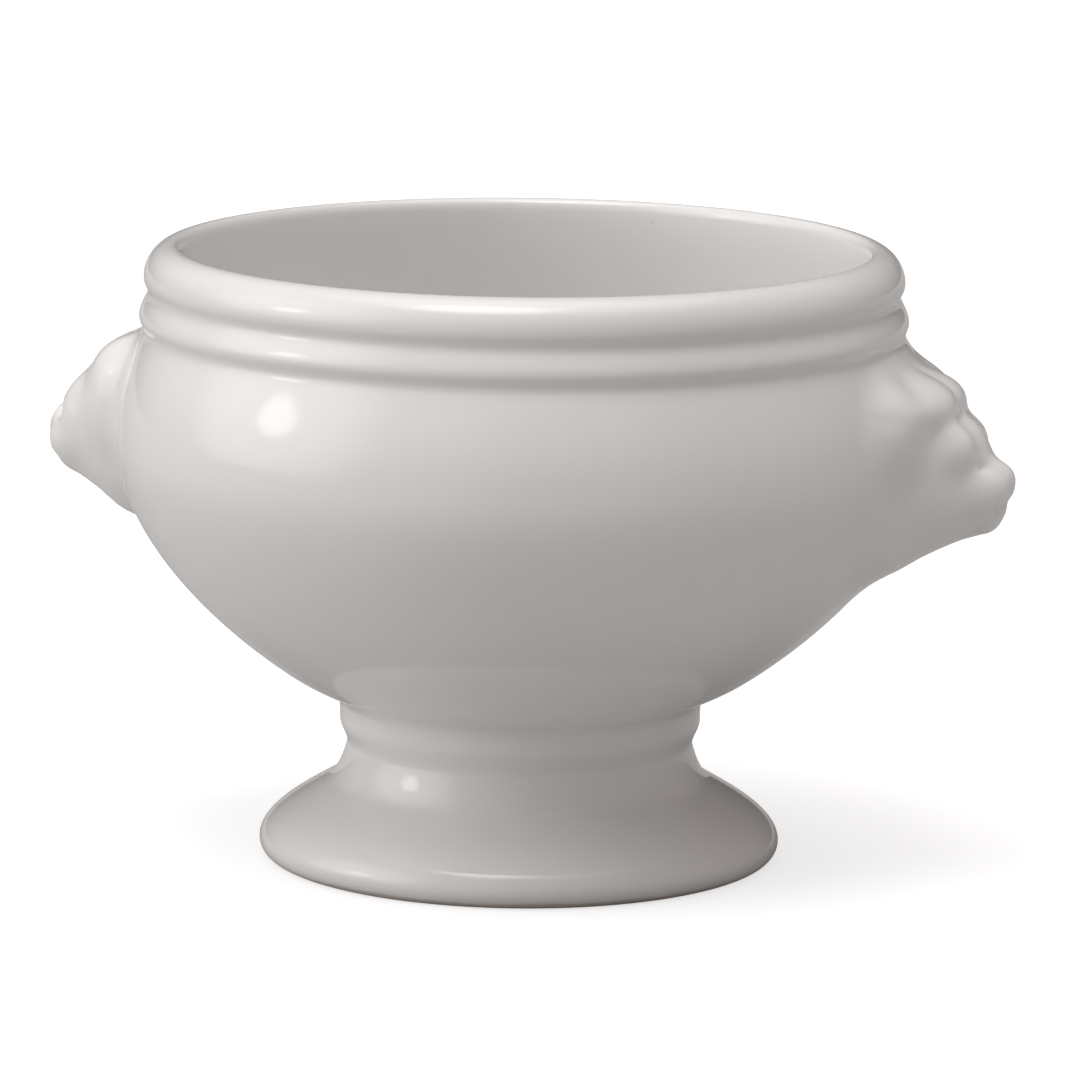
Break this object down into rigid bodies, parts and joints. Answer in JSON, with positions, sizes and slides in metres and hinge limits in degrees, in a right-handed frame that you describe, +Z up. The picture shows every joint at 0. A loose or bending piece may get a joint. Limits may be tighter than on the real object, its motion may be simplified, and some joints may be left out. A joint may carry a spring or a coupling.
{
  "type": "soup bowl",
  "caption": "Footed onion soup bowl: a full round belly under a rolled lip and ring, on a waisted bell foot, with a moulded lion head at each side for gripping.",
  "frame": {"origin": "on the table, under the middle of the foot", "axes": "+Z up through the bowl, +X through the middle of the right lion head, +Y towards the back"},
  "size_m": [0.1454, 0.1182, 0.09],
  "materials": {
    "glazed_porcelain": "glossy clear glaze over white porcelain",
    "joining_slip": "fired slip under the glaze"
  },
  "bodies": {
    "root": {"bowl": "glazed_porcelain", "pedestal_foot": "glazed_porcelain", "lion_head_left": "glazed_porcelain", "lion_head_right": "glazed_porcelain", "foot_luting_seam": "joining_slip", "lion_head_left_luting_seam": "joining_slip", "lion_head_right_luting_seam": "joining_slip"}
  },
  "joints": []
}
